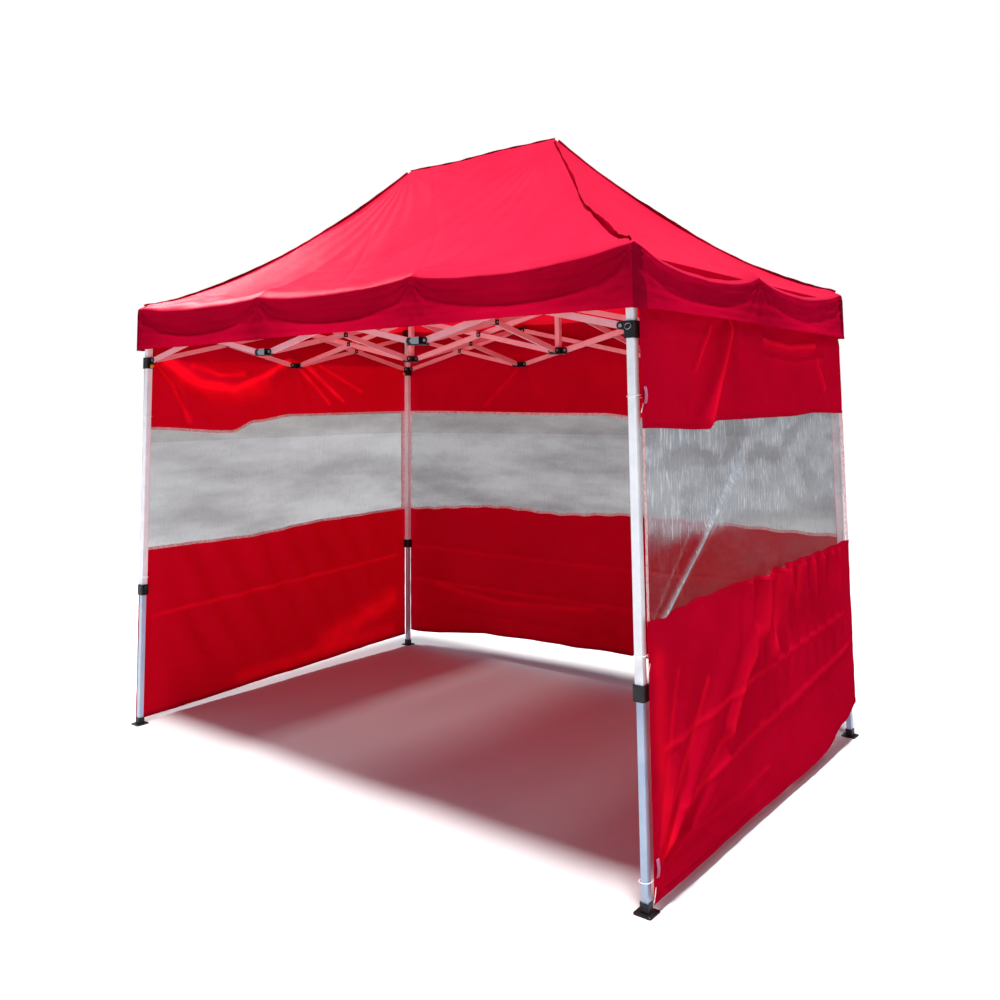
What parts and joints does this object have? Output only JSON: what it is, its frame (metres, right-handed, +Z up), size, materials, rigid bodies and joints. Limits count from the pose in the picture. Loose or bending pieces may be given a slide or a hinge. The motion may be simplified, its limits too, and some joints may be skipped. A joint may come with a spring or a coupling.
{
  "type": "pop-up canopy",
  "caption": "Pop-up canopy with a folding crossed-bar frame on telescopic legs, a red hip roof with a valance, and window side walls on three sides.",
  "frame": {"origin": "on the ground, under the middle of the roof", "axes": "+Z up, X along the long side, the open side faces -Y"},
  "size_m": [3.02, 2.04, 2.904],
  "materials": {
    "white_powder_coat": "smooth white powder coat on steel tube",
    "black_nylon": "moulded black nylon",
    "red_canopy_cloth": "coated woven polyester, satin"
  },
  "bodies": {
    "mast_upper_connector": {"mast_upper_connector": "black_nylon", "upper_connectors": "black_nylon", "roof": "red_canopy_cloth"},
    "middle_bar_2_fall": {"middle_bar_2_fall": "white_powder_coat"},
    "middle_bar_2_rise": {"middle_bar_2_rise": "white_powder_coat"},
    "middle_bar_1_rise": {"middle_bar_1_rise": "white_powder_coat"},
    "middle_bar_1_fall": {"middle_bar_1_fall": "white_powder_coat"},
    "inner_left_bar_1_rise": {"inner_left_bar_1_rise": "white_powder_coat"},
    "inner_left_bar_1_fall": {"inner_left_bar_1_fall": "white_powder_coat"},
    "inner_left_bar_2_fall": {"inner_left_bar_2_fall": "white_powder_coat"},
    "inner_left_bar_2_rise": {"inner_left_bar_2_rise": "white_powder_coat"},
    "mast_left": {"mast_left": "white_powder_coat"},
    "mast_right": {"mast_right": "white_powder_coat"},
    "left_lower_connector": {"left_lower_connector": "black_nylon"},
    "front_lower_connector_1": {"front_lower_connector_1": "black_nylon"},
    "back_lower_connector_1": {"back_lower_connector_1": "black_nylon"},
    "inner_right_bar_1_fall": {"inner_right_bar_1_fall": "white_powder_coat"},
    "inner_right_bar_1_rise": {"inner_right_bar_1_rise": "white_powder_coat"},
    "inner_right_bar_2_rise": {"inner_right_bar_2_rise": "white_powder_coat"},
    "inner_right_bar_2_fall": {"inner_right_bar_2_fall": "white_powder_coat"},
    "front_lower_connector_2": {"front_lower_connector_2": "black_nylon"},
    "back_lower_connector_2": {"back_lower_connector_2": "black_nylon"},
    "left_bar_1_fall": {"left_bar_1_fall": "white_powder_coat"},
    "left_bar_1_rise": {"left_bar_1_rise": "white_powder_coat"},
    "left_bar_2_rise": {"left_bar_2_rise": "white_powder_coat"},
    "left_bar_2_fall": {"left_bar_2_fall": "white_powder_coat"},
    "front_bar_1_fall": {"front_bar_1_fall": "white_powder_coat"},
    "front_bar_1_rise": {"front_bar_1_rise": "white_powder_coat"},
    "front_left_leg": {"front_left_leg": "white_powder_coat", "left_wall": "red_canopy_cloth"},
    "front_left_slider": {"front_left_slider": "black_nylon"},
    "front_bar_2_rise": {"front_bar_2_rise": "white_powder_coat"},
    "front_bar_2_fall": {"front_bar_2_fall": "white_powder_coat"},
    "front_bar_3_rise": {"front_bar_3_rise": "white_powder_coat"},
    "front_bar_3_fall": {"front_bar_3_fall": "white_powder_coat"},
    "front_right_leg": {"front_right_leg": "white_powder_coat", "right_wall": "red_canopy_cloth"},
    "front_right_slider": {"front_right_slider": "black_nylon"},
    "back_bar_1_fall": {"back_bar_1_fall": "white_powder_coat"},
    "back_bar_1_rise": {"back_bar_1_rise": "white_powder_coat"},
    "back_left_leg": {"back_left_leg": "white_powder_coat", "back_wall": "red_canopy_cloth"},
    "back_left_slider": {"back_left_slider": "black_nylon"},
    "back_bar_2_rise": {"back_bar_2_rise": "white_powder_coat"},
    "back_bar_2_fall": {"back_bar_2_fall": "white_powder_coat"},
    "back_bar_3_rise": {"back_bar_3_rise": "white_powder_coat"},
    "back_bar_3_fall": {"back_bar_3_fall": "white_powder_coat"},
    "back_right_leg": {"back_right_leg": "white_powder_coat"},
    "back_right_slider": {"back_right_slider": "black_nylon"},
    "middle_bar_3_rise": {"middle_bar_3_rise": "white_powder_coat"},
    "middle_bar_3_fall": {"middle_bar_3_fall": "white_powder_coat"},
    "right_lower_connector": {"right_lower_connector": "black_nylon"},
    "right_bar_1_fall": {"right_bar_1_fall": "white_powder_coat"},
    "right_bar_1_rise": {"right_bar_1_rise": "white_powder_coat"},
    "right_bar_2_rise": {"right_bar_2_rise": "white_powder_coat"},
    "right_bar_2_fall": {"right_bar_2_fall": "white_powder_coat"},
    "front_left_lower_leg": {"front_left_lower_leg": "white_powder_coat"},
    "front_right_lower_leg": {"front_right_lower_leg": "white_powder_coat"},
    "back_left_lower_leg": {"back_left_lower_leg": "white_powder_coat"},
    "back_right_lower_leg": {"back_right_lower_leg": "white_powder_coat"}
  },
  "joints": [
    {"name": "frame_fold", "type": "hinge", "parent": "mast_upper_connector", "child": "middle_bar_2_fall", "pos_m": [-0.454, 0, 2.068], "axis": [0, 1, 0], "range_deg": [0, 73], "deforming": ["roof", "upper_connectors", "left_wall", "right_wall", "back_wall"]},
    {"name": "middle_bar_2_rise_pivot", "type": "hinge", "parent": "middle_bar_2_fall", "child": "middle_bar_2_rise", "pos_m": [0, 0, 1.963], "axis": [0, 1, 0], "range_deg": [-146, 0]},
    {"name": "middle_bar_1_rise_pivot", "type": "hinge", "parent": "mast_upper_connector", "child": "middle_bar_1_rise", "pos_m": [-0.526, 0, 2.068], "axis": [0, 1, 0], "range_deg": [-73, 0]},
    {"name": "middle_bar_1_fall_pivot", "type": "hinge", "parent": "middle_bar_1_rise", "child": "middle_bar_1_fall", "pos_m": [-0.98, 0, 1.963], "axis": [0, 1, 0], "range_deg": [0, 146]},
    {"name": "inner_left_bar_1_rise_pivot", "type": "hinge", "parent": "mast_upper_connector", "child": "inner_left_bar_1_rise", "pos_m": [-0.49, -0.036, 2.068], "axis": [-1, 0, 0], "range_deg": [-73, 0]},
    {"name": "inner_left_bar_1_fall_pivot", "type": "hinge", "parent": "inner_left_bar_1_rise", "child": "inner_left_bar_1_fall", "pos_m": [-0.49, -0.49, 1.963], "axis": [-1, 0, 0], "range_deg": [0, 146]},
    {"name": "inner_left_bar_2_fall_pivot", "type": "hinge", "parent": "mast_upper_connector", "child": "inner_left_bar_2_fall", "pos_m": [-0.49, 0.036, 2.068], "axis": [-1, 0, 0], "range_deg": [0, 73]},
    {"name": "inner_left_bar_2_rise_pivot", "type": "hinge", "parent": "inner_left_bar_2_fall", "child": "inner_left_bar_2_rise", "pos_m": [-0.49, 0.49, 1.963], "axis": [-1, 0, 0], "range_deg": [-146, 0]},
    {"name": "mast_left_pivot", "type": "hinge", "parent": "middle_bar_2_rise", "child": "mast_left", "pos_m": [-0.454, 0, 1.858], "axis": [0, 1, 0], "range_deg": [0, 73]},
    {"name": "mast_right_pivot", "type": "hinge", "parent": "middle_bar_2_fall", "child": "mast_right", "pos_m": [0.454, 0, 1.858], "axis": [0, 1, 0], "range_deg": [-73, 0]},
    {"name": "left_lower_connector_pivot", "type": "hinge", "parent": "middle_bar_1_rise", "child": "left_lower_connector", "pos_m": [-1.434, 0, 1.858], "axis": [0, 1, 0], "range_deg": [0, 73]},
    {"name": "front_lower_connector_1_pivot", "type": "hinge", "parent": "inner_left_bar_1_rise", "child": "front_lower_connector_1", "pos_m": [-0.49, -0.944, 1.858], "axis": [-1, 0, 0], "range_deg": [0, 73]},
    {"name": "back_lower_connector_1_pivot", "type": "hinge", "parent": "inner_left_bar_2_fall", "child": "back_lower_connector_1", "pos_m": [-0.49, 0.944, 1.858], "axis": [-1, 0, 0], "range_deg": [-73, 0]},
    {"name": "inner_right_bar_1_fall_pivot", "type": "hinge", "parent": "mast_right", "child": "inner_right_bar_1_fall", "pos_m": [0.49, -0.036, 1.858], "axis": [-1, 0, 0], "range_deg": [0, 73]},
    {"name": "inner_right_bar_1_rise_pivot", "type": "hinge", "parent": "inner_right_bar_1_fall", "child": "inner_right_bar_1_rise", "pos_m": [0.49, -0.49, 1.963], "axis": [-1, 0, 0], "range_deg": [-146, 0]},
    {"name": "inner_right_bar_2_rise_pivot", "type": "hinge", "parent": "mast_right", "child": "inner_right_bar_2_rise", "pos_m": [0.49, 0.036, 1.858], "axis": [-1, 0, 0], "range_deg": [-73, 0]},
    {"name": "inner_right_bar_2_fall_pivot", "type": "hinge", "parent": "inner_right_bar_2_rise", "child": "inner_right_bar_2_fall", "pos_m": [0.49, 0.49, 1.963], "axis": [-1, 0, 0], "range_deg": [0, 146]},
    {"name": "front_lower_connector_2_pivot", "type": "hinge", "parent": "inner_right_bar_1_rise", "child": "front_lower_connector_2", "pos_m": [0.49, -0.944, 1.858], "axis": [-1, 0, 0], "range_deg": [0, 73]},
    {"name": "back_lower_connector_2_pivot", "type": "hinge", "parent": "inner_right_bar_2_fall", "child": "back_lower_connector_2", "pos_m": [0.49, 0.944, 1.858], "axis": [-1, 0, 0], "range_deg": [-73, 0]},
    {"name": "left_bar_1_fall_pivot", "type": "hinge", "parent": "left_lower_connector", "child": "left_bar_1_fall", "pos_m": [-1.47, -0.036, 1.858], "axis": [-1, 0, 0], "range_deg": [0, 73]},
    {"name": "left_bar_1_rise_pivot", "type": "hinge", "parent": "left_bar_1_fall", "child": "left_bar_1_rise", "pos_m": [-1.47, -0.49, 1.963], "axis": [-1, 0, 0], "range_deg": [-146, 0]},
    {"name": "left_bar_2_rise_pivot", "type": "hinge", "parent": "left_lower_connector", "child": "left_bar_2_rise", "pos_m": [-1.47, 0.036, 1.858], "axis": [-1, 0, 0], "range_deg": [-73, 0]},
    {"name": "left_bar_2_fall_pivot", "type": "hinge", "parent": "left_bar_2_rise", "child": "left_bar_2_fall", "pos_m": [-1.47, 0.49, 1.963], "axis": [-1, 0, 0], "range_deg": [0, 146]},
    {"name": "front_bar_1_fall_pivot", "type": "hinge", "parent": "front_lower_connector_1", "child": "front_bar_1_fall", "pos_m": [-0.526, -0.98, 1.858], "axis": [0, 1, 0], "range_deg": [0, 73]},
    {"name": "front_bar_1_rise_pivot", "type": "hinge", "parent": "front_bar_1_fall", "child": "front_bar_1_rise", "pos_m": [-0.98, -0.98, 1.963], "axis": [0, 1, 0], "range_deg": [-146, 0]},
    {"name": "front_left_leg_pivot", "type": "hinge", "parent": "front_bar_1_fall", "child": "front_left_leg", "pos_m": [-1.434, -0.98, 2.068], "axis": [0, 1, 0], "range_deg": [-73, 0]},
    {"name": "front_left_slider_pivot", "type": "hinge", "parent": "front_bar_1_rise", "child": "front_left_slider", "pos_m": [-1.434, -0.98, 1.858], "axis": [0, 1, 0], "range_deg": [0, 73]},
    {"name": "front_bar_2_rise_pivot", "type": "hinge", "parent": "front_lower_connector_1", "child": "front_bar_2_rise", "pos_m": [-0.454, -0.98, 1.858], "axis": [0, 1, 0], "range_deg": [-73, 0]},
    {"name": "front_bar_2_fall_pivot", "type": "hinge", "parent": "front_bar_2_rise", "child": "front_bar_2_fall", "pos_m": [0, -0.98, 1.963], "axis": [0, 1, 0], "range_deg": [0, 146]},
    {"name": "front_bar_3_rise_pivot", "type": "hinge", "parent": "front_lower_connector_2", "child": "front_bar_3_rise", "pos_m": [0.526, -0.98, 1.858], "axis": [0, 1, 0], "range_deg": [-73, 0]},
    {"name": "front_bar_3_fall_pivot", "type": "hinge", "parent": "front_bar_3_rise", "child": "front_bar_3_fall", "pos_m": [0.98, -0.98, 1.963], "axis": [0, 1, 0], "range_deg": [0, 146]},
    {"name": "front_right_leg_pivot", "type": "hinge", "parent": "front_bar_3_rise", "child": "front_right_leg", "pos_m": [1.434, -0.98, 2.068], "axis": [0, 1, 0], "range_deg": [0, 73]},
    {"name": "front_right_slider_pivot", "type": "hinge", "parent": "front_bar_3_fall", "child": "front_right_slider", "pos_m": [1.434, -0.98, 1.858], "axis": [0, 1, 0], "range_deg": [-73, 0]},
    {"name": "back_bar_1_fall_pivot", "type": "hinge", "parent": "back_lower_connector_1", "child": "back_bar_1_fall", "pos_m": [-0.526, 0.98, 1.858], "axis": [0, 1, 0], "range_deg": [0, 73]},
    {"name": "back_bar_1_rise_pivot", "type": "hinge", "parent": "back_bar_1_fall", "child": "back_bar_1_rise", "pos_m": [-0.98, 0.98, 1.963], "axis": [0, 1, 0], "range_deg": [-146, 0]},
    {"name": "back_left_leg_pivot", "type": "hinge", "parent": "back_bar_1_fall", "child": "back_left_leg", "pos_m": [-1.434, 0.98, 2.068], "axis": [0, 1, 0], "range_deg": [-73, 0]},
    {"name": "back_left_slider_pivot", "type": "hinge", "parent": "back_bar_1_rise", "child": "back_left_slider", "pos_m": [-1.434, 0.98, 1.858], "axis": [0, 1, 0], "range_deg": [0, 73]},
    {"name": "back_bar_2_rise_pivot", "type": "hinge", "parent": "back_lower_connector_1", "child": "back_bar_2_rise", "pos_m": [-0.454, 0.98, 1.858], "axis": [0, 1, 0], "range_deg": [-73, 0]},
    {"name": "back_bar_2_fall_pivot", "type": "hinge", "parent": "back_bar_2_rise", "child": "back_bar_2_fall", "pos_m": [0, 0.98, 1.963], "axis": [0, 1, 0], "range_deg": [0, 146]},
    {"name": "back_bar_3_rise_pivot", "type": "hinge", "parent": "back_lower_connector_2", "child": "back_bar_3_rise", "pos_m": [0.526, 0.98, 1.858], "axis": [0, 1, 0], "range_deg": [-73, 0]},
    {"name": "back_bar_3_fall_pivot", "type": "hinge", "parent": "back_bar_3_rise", "child": "back_bar_3_fall", "pos_m": [0.98, 0.98, 1.963], "axis": [0, 1, 0], "range_deg": [0, 146]},
    {"name": "back_right_leg_pivot", "type": "hinge", "parent": "back_bar_3_rise", "child": "back_right_leg", "pos_m": [1.434, 0.98, 2.068], "axis": [0, 1, 0], "range_deg": [0, 73]},
    {"name": "back_right_slider_pivot", "type": "hinge", "parent": "back_bar_3_fall", "child": "back_right_slider", "pos_m": [1.434, 0.98, 1.858], "axis": [0, 1, 0], "range_deg": [-73, 0]},
    {"name": "middle_bar_3_rise_pivot", "type": "hinge", "parent": "mast_right", "child": "middle_bar_3_rise", "pos_m": [0.526, 0, 1.858], "axis": [0, 1, 0], "range_deg": [-73, 0]},
    {"name": "middle_bar_3_fall_pivot", "type": "hinge", "parent": "middle_bar_3_rise", "child": "middle_bar_3_fall", "pos_m": [0.98, 0, 1.963], "axis": [0, 1, 0], "range_deg": [0, 146]},
    {"name": "right_lower_connector_pivot", "type": "hinge", "parent": "middle_bar_3_fall", "child": "right_lower_connector", "pos_m": [1.434, 0, 1.858], "axis": [0, 1, 0], "range_deg": [-73, 0]},
    {"name": "right_bar_1_fall_pivot", "type": "hinge", "parent": "right_lower_connector", "child": "right_bar_1_fall", "pos_m": [1.47, -0.036, 1.858], "axis": [-1, 0, 0], "range_deg": [0, 73]},
    {"name": "right_bar_1_rise_pivot", "type": "hinge", "parent": "right_bar_1_fall", "child": "right_bar_1_rise", "pos_m": [1.47, -0.49, 1.963], "axis": [-1, 0, 0], "range_deg": [-146, 0]},
    {"name": "right_bar_2_rise_pivot", "type": "hinge", "parent": "right_lower_connector", "child": "right_bar_2_rise", "pos_m": [1.47, 0.036, 1.858], "axis": [-1, 0, 0], "range_deg": [-73, 0]},
    {"name": "right_bar_2_fall_pivot", "type": "hinge", "parent": "right_bar_2_rise", "child": "right_bar_2_fall", "pos_m": [1.47, 0.49, 1.963], "axis": [-1, 0, 0], "range_deg": [0, 146]},
    {"name": "front_left_leg_slide", "type": "slide", "parent": "front_left_leg", "child": "front_left_lower_leg", "axis": [0, 0, 1], "range_m": [-0.26, 0.6]},
    {"name": "front_right_leg_slide", "type": "slide", "parent": "front_right_leg", "child": "front_right_lower_leg", "axis": [0, 0, 1], "range_m": [-0.26, 0.6]},
    {"name": "back_left_leg_slide", "type": "slide", "parent": "back_left_leg", "child": "back_left_lower_leg", "axis": [0, 0, 1], "range_m": [-0.26, 0.6]},
    {"name": "back_right_leg_slide", "type": "slide", "parent": "back_right_leg", "child": "back_right_lower_leg", "axis": [0, 0, 1], "range_m": [-0.26, 0.6]}
  ],
  "couplings": [
    {"joint": "middle_bar_2_rise_pivot", "follows": "frame_fold", "ratio": -2},
    {"joint": "middle_bar_1_rise_pivot", "follows": "frame_fold", "ratio": -1},
    {"joint": "middle_bar_1_fall_pivot", "follows": "frame_fold", "ratio": 2},
    {"joint": "inner_left_bar_1_rise_pivot", "follows": "frame_fold", "ratio": -1},
    {"joint": "inner_left_bar_1_fall_pivot", "follows": "frame_fold", "ratio": 2},
    {"joint": "inner_left_bar_2_fall_pivot", "follows": "frame_fold", "ratio": 1},
    {"joint": "inner_left_bar_2_rise_pivot", "follows": "frame_fold", "ratio": -2},
    {"joint": "mast_left_pivot", "follows": "frame_fold", "ratio": 1},
    {"joint": "mast_right_pivot", "follows": "frame_fold", "ratio": -1},
    {"joint": "left_lower_connector_pivot", "follows": "frame_fold", "ratio": 1},
    {"joint": "front_lower_connector_1_pivot", "follows": "frame_fold", "ratio": 1},
    {"joint": "back_lower_connector_1_pivot", "follows": "frame_fold", "ratio": -1},
    {"joint": "inner_right_bar_1_fall_pivot", "follows": "frame_fold", "ratio": 1},
    {"joint": "inner_right_bar_1_rise_pivot", "follows": "frame_fold", "ratio": -2},
    {"joint": "inner_right_bar_2_rise_pivot", "follows": "frame_fold", "ratio": -1},
    {"joint": "inner_right_bar_2_fall_pivot", "follows": "frame_fold", "ratio": 2},
    {"joint": "front_lower_connector_2_pivot", "follows": "frame_fold", "ratio": 1},
    {"joint": "back_lower_connector_2_pivot", "follows": "frame_fold", "ratio": -1},
    {"joint": "left_bar_1_fall_pivot", "follows": "frame_fold", "ratio": 1},
    {"joint": "left_bar_1_rise_pivot", "follows": "frame_fold", "ratio": -2},
    {"joint": "left_bar_2_rise_pivot", "follows": "frame_fold", "ratio": -1},
    {"joint": "left_bar_2_fall_pivot", "follows": "frame_fold", "ratio": 2},
    {"joint": "front_bar_1_fall_pivot", "follows": "frame_fold", "ratio": 1},
    {"joint": "front_bar_1_rise_pivot", "follows": "frame_fold", "ratio": -2},
    {"joint": "front_left_leg_pivot", "follows": "frame_fold", "ratio": -1},
    {"joint": "front_left_slider_pivot", "follows": "frame_fold", "ratio": 1},
    {"joint": "front_bar_2_rise_pivot", "follows": "frame_fold", "ratio": -1},
    {"joint": "front_bar_2_fall_pivot", "follows": "frame_fold", "ratio": 2},
    {"joint": "front_bar_3_rise_pivot", "follows": "frame_fold", "ratio": -1},
    {"joint": "front_bar_3_fall_pivot", "follows": "frame_fold", "ratio": 2},
    {"joint": "front_right_leg_pivot", "follows": "frame_fold", "ratio": 1},
    {"joint": "front_right_slider_pivot", "follows": "frame_fold", "ratio": -1},
    {"joint": "back_bar_1_fall_pivot", "follows": "frame_fold", "ratio": 1},
    {"joint": "back_bar_1_rise_pivot", "follows": "frame_fold", "ratio": -2},
    {"joint": "back_left_leg_pivot", "follows": "frame_fold", "ratio": -1},
    {"joint": "back_left_slider_pivot", "follows": "frame_fold", "ratio": 1},
    {"joint": "back_bar_2_rise_pivot", "follows": "frame_fold", "ratio": -1},
    {"joint": "back_bar_2_fall_pivot", "follows": "frame_fold", "ratio": 2},
    {"joint": "back_bar_3_rise_pivot", "follows": "frame_fold", "ratio": -1},
    {"joint": "back_bar_3_fall_pivot", "follows": "frame_fold", "ratio": 2},
    {"joint": "back_right_leg_pivot", "follows": "frame_fold", "ratio": 1},
    {"joint": "back_right_slider_pivot", "follows": "frame_fold", "ratio": -1},
    {"joint": "middle_bar_3_rise_pivot", "follows": "frame_fold", "ratio": -1},
    {"joint": "middle_bar_3_fall_pivot", "follows": "frame_fold", "ratio": 2},
    {"joint": "right_lower_connector_pivot", "follows": "frame_fold", "ratio": -1},
    {"joint": "right_bar_1_fall_pivot", "follows": "frame_fold", "ratio": 1},
    {"joint": "right_bar_1_rise_pivot", "follows": "frame_fold", "ratio": -2},
    {"joint": "right_bar_2_rise_pivot", "follows": "frame_fold", "ratio": -1},
    {"joint": "right_bar_2_fall_pivot", "follows": "frame_fold", "ratio": 2}
  ]
}
